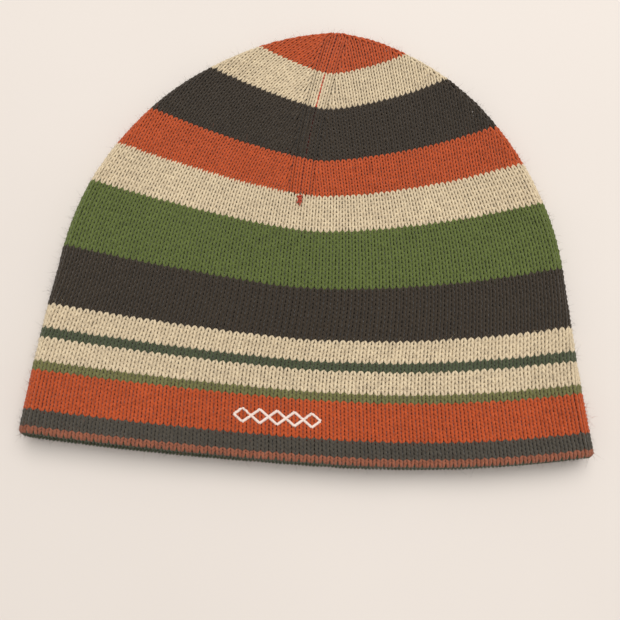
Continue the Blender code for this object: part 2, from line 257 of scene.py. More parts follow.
HEM_COURSE = 0.00195          # height of a course in the hem

tall = np.array([count * gauge for _, count, _, gauge in STRIPES])
STRIPE_COURSES = np.concatenate([[0], np.cumsum([count for _, count, _, _ in STRIPES])])
STRIPE_RISES = np.concatenate([[0], np.cumsum(tall) / tall.sum()])


def rise_of(course):
    """How far up the hat a course lies, from 0 at the hem to 1 at the crown."""
    return np.interp(course, STRIPE_COURSES, STRIPE_RISES)


def middle_y(rise):
    return HEM_Y + BODY_LENGTH * rise * (1 - COURSE_STRETCH * (1 - rise))


def crown_dip(rise):
    peak = CROWN_SAG_PEAK / (CROWN_SAG_PEAK + 1)
    return rise ** CROWN_SAG_PEAK * (1 - rise) / (peak ** CROWN_SAG_PEAK * (1 - peak))


def half_width(rise):
    y = middle_y(rise) + sum(HEM_SAG) / 2 * (1 - rise) + sum(CROWN_SAG) / 2 * crown_dip(rise)
    tapered = BRIM_HALF_WIDTH - SIDE_TAPER * (y - HEM_Y - sum(HEM_SAG) / 2)
    up = np.clip((y - middle_y(1.0) + DOME_LENGTH) / DOME_LENGTH, 0, 1)
    return np.maximum(SHOULDER, tapered * (1 - up ** DOME_POWER_UP) ** (1 / DOME_POWER_ACROSS))


def fold_radius(rise):
    hem = FABRIC / 2 + GAP + FACING + MOUTH_GAP / 2
    crown = FABRIC / 2 + CROWN_CLEARANCE
    return hem + (crown - hem) * rise * rise


def flat_run(rise):
    return half_width(rise) - fold_radius(rise)


def quarter(rise):
    """Way round the hat from the middle of a layer to the outermost point of the fold."""
    return flat_run(rise) + fold_radius(rise) * math.pi / 2


def crown_fade(rise):
    return 1 - np.maximum(0, (rise - ROLL_FADE_START) / (1 - ROLL_FADE_START)) ** 1.5


def roll(rise):
    return DART_ROLL * crown_fade(rise)


def seam_roll(rise):
    start, end = SEAM_TURN_RISE
    back = np.clip((rise - start) / (end - start), 0, 1)
    back = back * back * (3 - 2 * back)
    return (SEAM_ROLL[0] + (SEAM_ROLL[1] - SEAM_ROLL[0]) * back) * crown_fade(rise)


def lay(along, rise, depth):
    """Places on the lying hat for places in the knitting: round it, up it and out of it."""
    run = flat_run(rise)
    radius = fold_radius(rise)
    around = 4 * quarter(rise)
    along = (along + around / 2) % around - around / 2
    distance = np.abs(along)
    turn = np.clip((distance - run) / radius, 0, math.pi)
    past = np.maximum(0, distance - run - math.pi * radius)
    straight = np.minimum(distance, run) - past
    x = np.sign(along) * (straight + (radius + depth) * np.sin(turn))
    z = FABRIC / 2 + radius + (radius + depth) * np.cos(turn)
    share = np.abs(x) / half_width(rise)
    raised = CROWN_BULGE * np.sin(math.pi * rise) * np.clip(1 - share * share, 0, 1) ** 2
    z = z + np.where(turn < math.pi / 2, raised, 0)
    right = x > 0
    hem = np.where(right, HEM_SAG[1], HEM_SAG[0]) * (1 - rise) * share ** HEM_SAG_POWER
    clear = np.clip((share - CROWN_FLAT) / (1 - CROWN_FLAT), 0, 2)
    power = np.where(right, CROWN_SAG_POWER[1], CROWN_SAG_POWER[0])
    crown = np.where(right, CROWN_SAG[1], CROWN_SAG[0]) * crown_dip(rise) * clear ** power
    y = middle_y(rise) + hem + crown
    under = (1 - np.cos(turn)) / 2 * np.exp(-rise / BACK_DROP_RISE)
    leftward = np.clip(0.55 - 0.6 * x / BRIM_HALF_WIDTH, 0, 1)
    y = y - BACK_DROP * under * leftward
    x = x + LEAN[0] * rise + LEAN[1] * rise * rise
    return np.stack([x, y, z], -1)


def lay_course(along_at, course, depth):
    """The same for a course position, which turns under at the hem and runs up inside it."""
    base = np.maximum(course, HEM_TURN)
    under = np.maximum(0, HEM_TURN - course) * HEM_COURSE
    angle = np.clip(under / HEM_RADIUS, 0, math.pi)
    up = np.maximum(0, under - math.pi * HEM_RADIUS)
    rise = rise_of(base)
    reach = HEM_RADIUS + depth
    place = lay(along_at(rise), rise, np.where(under > 0, reach * np.cos(angle) - HEM_RADIUS, depth))
    place[..., 1] += up - np.where(under > 0, reach * np.sin(angle), 0)
    return place


# Lines in the knitting, as distances round the hat from the middle of its top
LINES = {
    "front_middle": lambda rise: -roll(rise),
    "back_middle": lambda rise: 2 * quarter(rise) - roll(rise),
    "right_seam": lambda rise: quarter(rise) - seam_roll(rise),
    "left_seam_front": lambda rise: -quarter(rise) - seam_roll(rise),
    "left_seam_back": lambda rise: 3 * quarter(rise) - seam_roll(rise),
}


def beside(line, distance):
    return lambda rise: line(rise) + distance


def waves(x, y, seed):
    """Slow unevenness, between about -1 and 1."""
    draw = np.random.default_rng(seed)
    total = 0
    for scale in (24, 41, 67, 103):
        angle, phase = draw.uniform(0, 2 * math.pi, 2)
        total = total + np.sin(scale * (x * np.cos(angle) + y * np.sin(angle)) * 2 + phase) / scale
    return total * 16


def unit(v):
    return v / np.maximum(np.linalg.norm(v, axis=-1, keepdims=True), 1e-12)


def run_along(path):
    """How far along the path each of its points is."""
    return np.concatenate([[0], np.cumsum(np.linalg.norm(np.diff(path, axis=0), axis=1))])


def sweep(centres, across, out, half_across, half_out, sides):
    """Rings of points round paths; across and out are unit directions at each of their points."""
    angle = 2 * math.pi * np.arange(sides) / sides
    return (centres[..., None, :]
            + across[..., None, :] * (half_across[..., None] * np.cos(angle))[..., None]
            + out[..., None, :] * (half_out[..., None] * np.sin(angle))[..., None])


class Strands:
    """Gathers yarns, threads and stray fibres into one mesh, with a map to bake it on and the
    strand's own coordinates: millimetres along it, and the place round it, turned with the twist."""

    def __init__(self):
        self.points, self.coords, self.tucks, self.quads, self.tris, self.cells = [], [], [], [], [], []
        self.count = 0

    def add(self, rings, length, twist=YARN_TWIST, tuck=None):
        """rings: strands x rings x sides x 3; length: metres along the strand at each ring;
        tuck: how deep each ring lies in the fabric, 0 to 1."""
        m, n, sides, _ = rings.shape
        self.points.append(rings.reshape(-1, 3))
        angle = 2 * math.pi * np.arange(sides) / sides + twist * length[..., None]
        along = np.broadcast_to(length[..., None] * 1000, angle.shape)
        self.coords.append(np.stack([along, np.cos(angle), np.sin(angle)], -1).reshape(-1, 3))
        # Each ring's depth in the fabric, 0 to 1, is kept for the wool, which paints shade into its
        # colour by it
        tuck = np.zeros((m, n)) if tuck is None else tuck
        self.tucks.append(np.repeat(tuck.reshape(-1), sides))
        first = self.count + np.arange(m)[:, None, None] * n * sides
        ring = first + np.arange(n - 1)[None, :, None] * sides
        j = np.arange(sides)
        k = (j + 1) % sides
        around = np.stack([ring + j, ring + k, ring + k + sides, ring + j + sides], -1)
        self.quads.append(around.reshape(-1, 4))
        fan = np.arange(1, sides - 1)
        last = first[:, 0] + (n - 1) * sides
        start = np.broadcast_to(first[:, 0], (m, sides - 2))
        end = np.broadcast_to(last, (m, sides - 2))
        self.tris.append(np.stack([start, first[:, 0] + fan + 1, first[:, 0] + fan], -1).reshape(-1, 3))
        self.tris.append(np.stack([end, last + fan, last + fan + 1], -1).reshape(-1, 3))
        self.cells.append((m, n, sides))
        self.count += m * n * sides

    def piece(self, name, material):
        points, quads, tris = (np.concatenate(part) for part in (self.points, self.quads, self.tris))
        mesh = bpy.data.meshes.new(name)
        mesh.vertices.add(len(points))
        mesh.vertices.foreach_set("co", points.astype(np.float32).ravel())
        corners = np.concatenate([quads.ravel(), tris.ravel()]).astype(np.int32)
        mesh.loops.add(len(corners))
        mesh.loops.foreach_set("vertex_index", corners)
        starts = np.concatenate([np.arange(len(quads)) * 4, len(quads) * 4 + np.arange(len(tris)) * 3])
        mesh.polygons.add(len(starts))
        mesh.polygons.foreach_set("loop_start", starts.astype(np.int32))
        mesh.polygons.foreach_set("use_smooth", np.ones(len(starts), bool))
        place = mesh.attributes.new("strand", "FLOAT_VECTOR", "POINT")
        place.data.foreach_set("vector", np.concatenate(self.coords).astype(np.float32).ravel())
        # The rings' depth in the fabric, which the wool paints into its colour as shade
        tuck = mesh.attributes.new("tuck", "FLOAT", "POINT")
        tuck.data.foreach_set("value", np.concatenate(self.tucks).astype(np.float32))
        self.bake_map(mesh, len(tris))
        mesh.update(calc_edges=True)
        mesh.materials.append(material)
        piece = bpy.data.objects.new(name, mesh)
        bpy.context.collection.objects.link(piece)
        return piece

    def bake_map(self, mesh, caps):
        """Lays short lengths of strand in rows that fill the unit square."""
        layer = mesh.uv_layers.new(name="OFBake", do_init=False)
        total = sum(m * (n - 1) for m, n, _ in self.cells)
        rows = max(1, round(math.sqrt(total * 0.3)))
        per_row = math.ceil(total / rows)
        uv = []
        at = 0
        for m, n, sides in self.cells:
            ring = at + np.arange(m * (n - 1))
            row, column = ring // per_row, ring % per_row
            u = np.broadcast_to((column / per_row)[:, None], (len(ring), sides))
            v = (row[:, None] + 0.02 + 0.96 * np.arange(sides) / sides) / rows
            across, up = 1 / per_row, 0.96 / sides / rows
            corners = [(u, v), (u, v + up), (u + across, v + up), (u + across, v)]
            uv.append(np.stack([np.stack(corner, -1) for corner in corners], 2).reshape(-1, 2))
            at += m * (n - 1)
        uv.append(np.tile(np.array([[0.001, 0.001], [0.004, 0.001], [0.001, 0.004]]), (caps, 1)))
        layer.uv.foreach_set("vector", np.concatenate(uv).clip(0, 1).astype(np.float32).ravel())


WOOL = {
    "rust": (144, 88, 66),
    "charcoal": (74, 69, 61),
    "orange": (178, 78, 38),
    "light_green": (109, 108, 67),
    "ecru": (208, 190, 160),
    "dark_green": (72, 79, 58),
    "brown": (55, 47, 38),
    "green": (89, 101, 50),
    "red_thread": (182, 72, 50),
}


def wool(name):
    """Soft woollen yarn: uneven dye, fibres that run with the twist, a dusting of pale hair, and shade
    painted into its colour where it lies deep in the fabric.
    """
    material = bpy.data.materials.get("wool_" + name)
    if material:
        return material
    base = linear(WOOL[name])
    light = [min(0.9, 1.5 * c) for c in base]
    dark = [0.55 * c for c in base]
    material, nodes, links = new_material("wool_" + name)
    shader = nodes["Principled BSDF"]
    shader.inputs["Specular IOR Level"].default_value = 0.18
    shader.inputs["Sheen Weight"].default_value = 0.35
    shader.inputs["Sheen Roughness"].default_value = 0.45
    shader.inputs["Sheen Tint"].default_value = [0.5 + 0.5 * c for c in light] + [1]
    strand = nodes.new("ShaderNodeAttribute")
    strand.attribute_name = "strand"
    place = nodes.new("ShaderNodeTexCoord")

    # Fibres: fine streaks round the yarn, long in its own direction
    stretch = nodes.new("ShaderNodeVectorMath")
    stretch.operation = "MULTIPLY"
    stretch.inputs[1].default_value = (0.55, 3.2, 3.2)
    links.new(strand.outputs["Vector"], stretch.inputs[0])
    fibres = noise(nodes, 1.0, 3.0)
    fibres.inputs["Roughness"].default_value = 0.65
    links.new(stretch.outputs[0], fibres.inputs["Vector"])

    # Melange: the dye takes unevenly, every few millimetres of the yarn and over whole patches
    melange = noise(nodes, 420.0, 3.0)
    links.new(place.outputs["Object"], melange.inputs["Vector"])
    cloud = noise(nodes, 34.0, 2.0)
    links.new(place.outputs["Object"], cloud.inputs["Vector"])

    ramp = ramp_of(nodes, (0.26, dark), (0.5, base), (0.76, light))
    blend = arithmetic(nodes, "MULTIPLY_ADD", 0.6)
    links.new(fibres.outputs["Fac"], blend.inputs[0])
    rest = arithmetic(nodes, "MULTIPLY_ADD", 0.3)
    links.new(melange.outputs["Fac"], rest.inputs[0])
    slow = arithmetic(nodes, "MULTIPLY", 0.1)
    links.new(cloud.outputs["Fac"], slow.inputs[0])
    links.new(slow.outputs[0], rest.inputs[2])
    links.new(rest.outputs[0], blend.inputs[2])
    links.new(blend.outputs[0], ramp.inputs["Fac"])

    # Painted shade: the yarn's colour is darkened where it lies deep in the fabric, behind the legs and
    # in the grooves
    tuck = nodes.new("ShaderNodeAttribute")
    tuck.attribute_name = "tuck"
    shade = nodes.new("ShaderNodeMix")
    shade.data_type = "RGBA"
    shade.blend_type = "MULTIPLY"
    links.new(tuck.outputs["Fac"], shade.inputs["Factor"])
    links.new(ramp.outputs["Color"], shade.inputs["A"])
    shade.inputs["B"].default_value = (0.34, 0.31, 0.28, 1)
    links.new(shade.outputs["Result"], shader.inputs["Base Color"])

    rough = nodes.new("ShaderNodeMapRange")
    rough.inputs["To Min"].default_value = 0.78
    rough.inputs["To Max"].default_value = 0.98
    links.new(fibres.outputs["Fac"], rough.inputs["Value"])
    links.new(rough.outputs["Result"], shader.inputs["Roughness"])

    # Plies: two strands wound round each other, with the fibres standing on them
    plies = nodes.new("ShaderNodeSeparateXYZ")
    links.new(strand.outputs["Vector"], plies.inputs[0])
    square = arithmetic(nodes, "MULTIPLY")
    links.new(plies.outputs["Y"], square.inputs[0])
    links.new(plies.outputs["Y"], square.inputs[1])
    height = arithmetic(nodes, "MULTIPLY_ADD", 0.8)
    links.new(square.outputs[0], height.inputs[0])
    links.new(fibres.outputs["Fac"], height.inputs[2])
    add_bump(nodes, links, height.outputs[0], shader, strength=0.7, distance=0.00022)
    return material


FOOT = sum(count for _, count, _, _ in STRIPES[: [name for name, *_ in STRIPES].index(DART_STRIPE)])
FOOT_WIDTH = float(quarter(rise_of(FOOT)) - SEAM_WIDTH / 2)
FOOT_WALE = FOOT_WIDTH / (WALES / 2)


def wales_between(width, tilt):
    """Where the wales' edges lie between two lines, from the first line, and how much each edge
    follows the second one. Beside a dart some wales run with it, and the rest end at their edges."""
    if tilt is None:
        share = np.arange(WALES + 1) / WALES
        return width * share, share
    inner = min(DART_WALES, max(1, int(width / FOOT_WALE / 2)))
    if width < (inner + 2 * NARROWEST_WALE + 0.2) * FOOT_WALE:
        count = max(1, round(width / FOOT_WALE))
        share = np.arange(count + 1) / count
        return width * share, share
    beside_dart = np.arange(inner + 1) * FOOT_WALE
    shift = tilt * (FOOT_WIDTH - width)
    first = math.ceil((beside_dart[-1] + NARROWEST_WALE * FOOT_WALE + shift) / FOOT_WALE)
    last = math.floor((width - NARROWEST_WALE * FOOT_WALE + shift) / FOOT_WALE)
    lattice = np.arange(first, last + 1) * FOOT_WALE - shift
    edges = np.concatenate([beside_dart, lattice, [width]])
    follow = np.concatenate([np.zeros(inner + 1), np.full(len(lattice), tilt), [1.0]])
    return edges, follow


def knit_course(strands, low, high, tilt, course, per_loop, sides, draw):
    """One course of loops between two lines of the knitting. Returns its path and its frame."""
    centre = course + 0.5
    rise = rise_of(max(centre, HEM_TURN))
    width = abs(float(high(rise) - low(rise)))
    sign = math.copysign(1.0, float(high(rise) - low(rise)))
    edges, follow = wales_between(width, tilt)
    wales = len(edges) - 1
    t = 2 * math.pi * np.arange(wales * per_loop + 1) / per_loop
    wale = np.minimum((t / (2 * math.pi)).astype(int), wales - 1)
    local = t - 2 * math.pi * wale
    odd = draw.normal(0, 1, (wales + 1, 4))
    ease = ((1 - np.cos(local / 2)) / 2)[:, None]
    odd = odd[wale] * (1 - ease) + odd[wale + 1] * ease
    share = (local + LOOP_LEAN * np.sin(2 * local)) / (2 * math.pi) + UNEVEN_SIDEWAYS * odd[:, 0]
    at = centre - (LOOP_HEIGHT + UNEVEN_HEIGHT * odd[:, 1]) * np.cos(local)
    front = -np.cos(2 * local)
    depth = np.where(front > 0, LEG_DEPTH, ARC_DEPTH) * front + UNEVEN_DEPTH * odd[:, 2]
    depth += LEG_OVERLAP * np.cos(local)
    offset = edges[wale] + (edges[wale + 1] - edges[wale]) * share
    tied = follow[wale] + (follow[wale + 1] - follow[wale]) * share
    size = np.minimum(edges[wale + 1] - edges[wale], FOOT_WALE * WIDEST_YARN)
    groove = 0 * offset
    if tilt is not None and wales > DART_WALES + 1:
        for mark in (edges[DART_WALES], edges[DART_WALES] - 0.5 * FOOT_WALE):
            groove = np.maximum(groove, np.exp(-((offset - mark) / (GROOVE_WIDTH * FOOT_WALE)) ** 2))
        depth -= GROOVE_DEPTH * groove
    thickness = 1 + UNEVEN_THICKNESS * odd[:, 3]
    half_across = YARN_ACROSS * size * thickness * (1 + LEG_SWELL * front)
    half_across *= 1 - GROOVE_THINNING * groove
    half_out = YARN_DEPTH * thickness * np.clip(size / FOOT_WALE, 0.6, 1.1)

    def along_at(rise_here):
        wider = np.abs(high(rise_here) - low(rise_here)) - width
        return low(rise_here) + sign * (offset + tied * wider)

    path = lay_course(along_at, at, depth)
    out = unit(lay_course(along_at, at, depth + 1e-4) - path)
    path[:, 2] += SETTLE * waves(path[:, 0], path[:, 1], 5) * (path[:, 2] > SETTLE_FROM)
    ahead = unit(np.gradient(path, axis=0))
    across = unit(np.cross(ahead, out))
    out = np.cross(across, ahead)
    length = run_along(path)
    rings = sweep(path, across, out, half_across, half_out, sides)
    for end in (0, -1):                       # the yarn tapers where it is tucked into a seam
        rings[end] = rings[end] * 0.2 + path[end] * 0.8
    # Painted shade: how deep the yarn lies, behind the legs and in the fashioning grooves, darkens its
    # colour
    tuck = np.clip(np.maximum(-front, groove), 0, 1)
    strands.add(rings[None], (length + draw.uniform(0, 1))[None], tuck=tuck[None])
    return path, ahead, out, half_out


def stray_fibres(strands, path, ahead, out, half_out, at, draw, longest=HAIR_LENGTH):
    """Loose hairs that stand off the yarn, one at each of the path's points listed in at."""
    count = len(at)
    side = unit(np.cross(ahead[at], out[at]))
    lift = draw.uniform(0.1, 1.0, count)[:, None]
    way = unit(out[at] * lift + side * draw.normal(0, 0.7, count)[:, None]
               + ahead[at] * draw.normal(0, 0.7, count)[:, None])
    bend = unit(draw.normal(0, 1, (count, 3)))
    reach = longest * draw.uniform(SHORTEST_HAIR, 1.0, count) ** 1.6
    step = np.linspace(0, 1, 3)
    root = path[at] + out[at] * half_out[at][:, None] * 0.7
    hair = (root[:, None] + way[:, None] * (reach[:, None] * step)[..., None]
            + bend[:, None] * (reach[:, None] * HAIR_CURL * step ** 2)[..., None])
    hair[..., 2] = np.maximum(hair[..., 2], HAIR_FLOOR)
    heading = unit(np.gradient(hair, axis=1))
    one = unit(np.cross(heading, bend[:, None]))
    two = np.cross(one, heading)
    thick = HAIR_RADIUS * (1 - HAIR_TAPER * step)[None] * np.ones((count, 1))
    strands.add(sweep(hair, one, two, thick, thick, 3), reach[:, None] * step, twist=0.0)


def knit_stripe(node, yarn, first, count, low, high, tilt, per_loop, sides, hairs, seed):
    """One colour's courses between two lines, with per_loop points to a loop, sides points round
    the yarn and so many loose hairs to a loop."""
    strands = Strands()
    draw = np.random.default_rng(seed)
    for course in range(first, first + count):
        path, ahead, out, half_out = knit_course(strands, low, high, tilt, course,
                                                 per_loop, sides, draw)
        wear = HEM_WEAR if course < 2 else 1.0
        spread = draw.integers(0, len(path), int(hairs * wear * len(path) / per_loop))
        # Wear brushes up more hairs where the hat is folded, beside the side seams
        worn = (draw.uniform(0, 1, FOLD_HAIRS) * FOLD_WALES * per_loop).astype(int) % len(path)
        ends = [len(path) - 1 - worn] if tilt is not None else [worn, len(path) - 1 - worn]
        stray_fibres(strands, path, ahead, out, half_out, np.concatenate([spread, *ends]), draw)
    piece = strands.piece(f"{node}_knit", wool(yarn))
    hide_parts(node)
    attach(piece, "hat")
    return piece


def knit_panel(side, left, middle, right, per_loop, sides, hairs, seed):
    inward = 1.0 if side == "front" else -1.0
    low = beside(LINES[left], inward * SEAM_WIDTH / 2)
    high = beside(LINES[right], -inward * SEAM_WIDTH / 2)
    first = 0
    for name, count, yarn, _ in STRIPES:
        seed += 1
        if first < FOOT:
            knit_stripe(f"{side}_{name}", yarn, first, count, low, high, None,
                        per_loop, sides, hairs, seed)
        else:
            for hand, edge, way in (("left", low, -inward), ("right", high, inward)):
                line = beside(LINES[middle], way * DART_GAP / 2)
                knit_stripe(f"{side}_{name}_{hand}", yarn, first, count, line, edge,
                            WALE_TILT[f"{side}_{hand}"], per_loop, sides, hairs, (seed, way > 0))
        first += count


# The upper layer, which is seen the most, has more points to a loop and more loose hairs
knit_panel("back", "left_seam_back", "back_middle", "right_seam",
           per_loop=8, sides=5, hairs=0.5, seed=200)
knit_panel("front", "left_seam_front", "front_middle", "right_seam",
           per_loop=12, sides=5, hairs=1.9, seed=100)


# --- Hem facings ------------------------------------------------------------------------------
# Six more courses of the same knitting in dark green, knitted on below each panel and turned up
# inside the mouth, where they keep the hem from curling.

FACING_COURSES = 6


def hem_facing(side, left, right, seed):
    inward = 1.0 if side == "front" else -1.0
    low = beside(LINES[left], inward * SEAM_WIDTH / 2)
    high = beside(LINES[right], -inward * SEAM_WIDTH / 2)
    knit_stripe(f"{side}_hem_facing", "dark_green", -FACING_COURSES, FACING_COURSES, low, high,
                tilt=None, per_loop=8, sides=4, hairs=0.8, seed=seed)


hem_facing("front", "left_seam_front", "right_seam", 301)
hem_facing("back", "left_seam_back", "right_seam", 302)


# --- Hem linkings -----------------------------------------------------------------------------
# A chain of dark green yarn, linked stitch by stitch, holds the upper edge of each facing to the
# inside of its panel.

LINKING_COURSE = -6.7         # just past the facing's upper edge
LINKING_PITCH = 0.0017
STITCH_OVERLAP = 1.35         # length of a grain of yarn, in stitches


def chain(strands, place, start, end, count, side, lift, half, draw, hands=(-1, 1)):
    """A row of chain stitches: two bent grains of yarn each, which meet at their lower ends.
    place gives a point for a way along the row, a distance to its side and one out of it; side is
    how far the grains spread, lift how far they arch up and half the yarn's half thickness."""
    step = np.linspace(-0.5, 0.5, 7)
    for hand in hands:
        along = np.arange(count)[:, None] + 0.5 + STITCH_OVERLAP * step
        along = along + draw.normal(0, 0.04, (count, 1))
        along = start + (end - start) * along / count
        aside = hand * side * (0.15 + 0.85 * np.sqrt(np.clip(step + 0.55, 0, 1))) * np.ones((count, 1))
        aside = aside + draw.normal(0, 0.06 * half, (count, 1))
        raised = lift * np.cos(math.pi * step) * (1 + draw.normal(0, 0.1, (count, 1)))
        centre = place(along, aside, raised)
        out = unit(place(along, aside, raised + 1e-4) - centre)
        ahead = unit(np.gradient(centre, axis=1))
        across = unit(np.cross(ahead, out))
        thick = half * np.array([0.35, 0.85, 1, 1.05, 1, 0.85, 0.35]) * np.ones((count, 1))
        length = (step + 0.5) * LINKING_PITCH * STITCH_OVERLAP + draw.uniform(0, 1, (count, 1))
        # Painted shade: the grains are darker towards their ends, where they dive into the fabric
        strands.add(sweep(centre, across, out, thick, thick, 6), length,
                    tuck=np.clip(1.6 * np.abs(step) - 0.3, 0, 1) * np.ones((count, 1)))


def finish_thread(strands, node, material, body="hat"):
    piece = strands.piece(f"{node}_yarn", material)
    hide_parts(node)
    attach(piece, body)
    return piece


def hem_linking(side, left, right, seed):
    draw = np.random.default_rng(seed)
    strands = Strands()
    inward = 1.0 if side == "front" else -1.0
    rise = rise_of(HEM_TURN)
    start = float(LINES[left](rise)) + inward * SEAM_WIDTH
    end = float(LINES[right](rise)) - inward * SEAM_WIDTH

    def place(along, aside, raised):
        course = LINKING_COURSE + aside / HEM_COURSE
        return lay_course(lambda rise: along, course, raised)

    count = int(abs(end - start) / LINKING_PITCH)
    chain(strands, place, start, end, count, side=0.0004, lift=0.0002, half=0.00032, draw=draw)
    finish_thread(strands, f"{side}_hem_linking", wool("dark_green"))


hem_linking("front", "left_seam_front", "right_seam", 311)
hem_linking("back", "left_seam_back", "right_seam", 312)


# --- Side seams -------------------------------------------------------------------------------
# The two panels' edges are taken together and linked with charcoal yarn from the hem to the
# crown; the chain lies in a groove between the edge wales.

SEAM_PITCH = 0.0021
SEAM_DEPTH = -0.0014          # from the middle of the fabric
SEAM_ENDS = (0.004, 0.985)    # how far up the hat it starts and ends


def up_the_hat(line, depth):
    """Places along a line of the knitting, by rise, distance to its side and height above it."""
    return lambda rise, aside, raised: lay(line(rise) + aside, rise, depth(rise) + raised)


def side_seam(name, line, seed):
    strands = Strands()
    place = up_the_hat(LINES[line], lambda rise: SEAM_DEPTH + 0 * rise)
    chain(strands, place, *SEAM_ENDS, int(BODY_LENGTH / SEAM_PITCH),
          side=0.0006, lift=0.0003, half=0.0004, draw=np.random.default_rng(seed))
    finish_thread(strands, name, wool("charcoal"))


side_seam("right_side_seam", "right_seam", 321)
side_seam("left_side_seam", "left_seam_front", 322)


# --- Dart threads and tacks -------------------------------------------------------------------
# A fine red thread links the two halves of each panel from the crown down to the foot of the
# dart. It sinks into the wool except in the crown's ecru stripe, and ends in a small bar tack
# of wound thread with a loose end.

THREAD_PITCH = 0.0024
THREAD_ENDS = (0.008, 0.99)   # it starts this far below the dart's foot and ends at this rise
THREAD_RADIUS = 0.00034
TACK_DROP = 0.0030
TACK_TURNS = 4.5
TACK_HALF_LENGTH = 0.0016
TACK_HALF_WIDTH = 0.0009
TACK_TAIL = 0.0034
# From the middle of the fabric; the back's tack is on the inside, clear of the table
TACK_SURFACE = {"front": 0.00105, "back": -0.00145}
# How high the thread lies in the upper orange, the charcoal, the crown's ecru and its orange
THREAD_DEPTHS = np.array([-0.0011, -0.0024, 0.0004, -0.0011])


def dart(side, middle, seed):
    draw = np.random.default_rng(seed)
    line = LINES[middle]
    foot = float(rise_of(FOOT))

    def depth(rise):
        sunk = THREAD_DEPTHS[np.searchsorted(STRIPE_RISES[-4:-1], rise)]
        return np.where(rise < foot, THREAD_DEPTHS[0], sunk)

    strands = Strands()
    count = int((1 - foot) * BODY_LENGTH / THREAD_PITCH)
    chain(strands, up_the_hat(line, depth), foot - THREAD_ENDS[0], THREAD_ENDS[1], count,
          side=0.00026, lift=0.0002, half=0.00036, draw=draw)
    finish_thread(strands, f"{side}_dart_thread", wool("red_thread"))

    # The tack: the thread wound across the dart, up it and down again, with its end left hanging
    strands = Strands()
    at = foot - TACK_DROP / BODY_LENGTH
    place = up_the_hat(line, lambda rise: TACK_SURFACE[side] + 0 * rise)
    angle = np.linspace(0, 2 * math.pi * TACK_TURNS, 60)
    rise = at + (TACK_HALF_LENGTH * np.sin(angle * 0.23) + 0.0003 * np.cos(angle)) / BODY_LENGTH
    aside = TACK_HALF_WIDTH * np.cos(angle) * (1 - 0.3 * np.sin(angle * 0.5))
    raised = 0.00035 * np.sin(angle)
    tail = np.linspace(0, 1, 14)[1:]
    rise = np.concatenate([rise, rise[-1] - TACK_TAIL * tail / BODY_LENGTH])
    aside = np.concatenate([aside, aside[-1] + 0.0011 * np.sin(2.4 * tail)])
    raised = np.concatenate([raised, raised[-1] + 0.0003 * np.sin(3 * tail)])
    path = place(rise, aside, raised)
    ahead = unit(np.gradient(path, axis=0))
    out = unit(np.cross(ahead, np.roll(ahead, 5, axis=0) + np.array([0.1, 0.2, 0.3])))
    across = np.cross(ahead, out)
    thick = np.full(len(path), THREAD_RADIUS)
    thick[-5:] *= np.linspace(1, 0.4, 5)
    length = run_along(path)
    strands.add(sweep(path, out, across, thick, thick, 6)[None], length[None])
    stray_fibres(strands, path, ahead, out, thick, draw.integers(0, len(path), 26), draw, 0.0022)
    finish_thread(strands, f"{side}_dart_tack", wool("red_thread"))


dart("front", "front_middle", 331)
dart("back", "back_middle", 332)


# --- Crown knot -------------------------------------------------------------------------------
# The ends of the darts and of the side seams are gathered at the top of the crown and wound
# round a few times with the red thread.

KNOT_TURNS = 5
KNOT_HALF_SIZE = (0.0024, 0.0007, 0.0011)


def crown_knot():
    strands = Strands()
    angle = np.linspace(0, 2 * math.pi * KNOT_TURNS, KNOT_TURNS * 16)
    middle = np.array([LEAN[0] + LEAN[1], middle_y(1.0) + 0.0003, FABRIC / 2 + fold_radius(1.0)])
    spread = np.linspace(-1, 1, len(angle))
    path = middle + np.stack([
        KNOT_HALF_SIZE[0] * np.cos(angle) * (0.85 + 0.15 * np.cos(angle * 0.37)),
        KNOT_HALF_SIZE[1] * spread + 0.0002 * np.sin(angle * 1.3),
        KNOT_HALF_SIZE[2] * np.sin(angle)], -1)
    ahead = unit(np.gradient(path, axis=0))
    out = unit(path - middle)
    across = unit(np.cross(ahead, out))
    out = np.cross(across, ahead)
    thick = np.full(len(path), THREAD_RADIUS)
    length = run_along(path)
    strands.add(sweep(path, across, out, thick, thick, 6)[None], length[None])
    finish_thread(strands, "crown_knot", wool("red_thread"))


crown_knot()


# --- Embroidered motif ------------------------------------------------------------------------
# A row of five open diamonds in shiny white thread, satin-stitched through the knitting of the
# lower orange stripe, close threads laid across each stroke.

MOTIF_DIAMONDS = 5
MOTIF_PITCH = 0.0074
MOTIF_HEIGHT = 0.0068
MOTIF_STROKE = 0.0011
MOTIF_OFFSET = -0.0042        # from the dart's line, to the left
MOTIF_COURSE = 10.6           # its middle lies on this course
MOTIF_SURFACE = 0.00075       # from the middle of the fabric
SATIN_SPACING = 0.00027
SATIN_HALF_THICKNESS = 0.00017
SATIN_SLANT = 0.35            # radians between a thread and the square way across its stroke
SATIN_LIFT = 0.0003


def embroidery_thread():
    """Trilobal polyester thread: white, with a soft gleam along it."""
    material, nodes, links = new_material("embroidery_thread")
    shader = nodes["Principled BSDF"]
    shader.inputs["Roughness"].default_value = 0.42
    shader.inputs["Sheen Weight"].default_value = 0.2
    strand = nodes.new("ShaderNodeAttribute")
    strand.attribute_name = "strand"
    stretch = nodes.new("ShaderNodeVectorMath")
    stretch.operation = "MULTIPLY"
    stretch.inputs[1].default_value = (1.5, 2.5, 2.5)
    links.new(strand.outputs["Vector"], stretch.inputs[0])
    fibres = noise(nodes, 1.0, 2.0)
    links.new(stretch.outputs[0], fibres.inputs["Vector"])
    ramp = ramp_of(nodes, (0.3, linear((214, 194, 184))), (0.65, linear((246, 231, 221))))
    links.new(fibres.outputs["Fac"], ramp.inputs["Fac"])
    links.new(ramp.outputs["Color"], shader.inputs["Base Color"])
    add_bump(nodes, links, fibres.outputs["Fac"], shader, strength=0.4, distance=0.00008)
    return material


WHITE_THREAD = embroidery_thread()


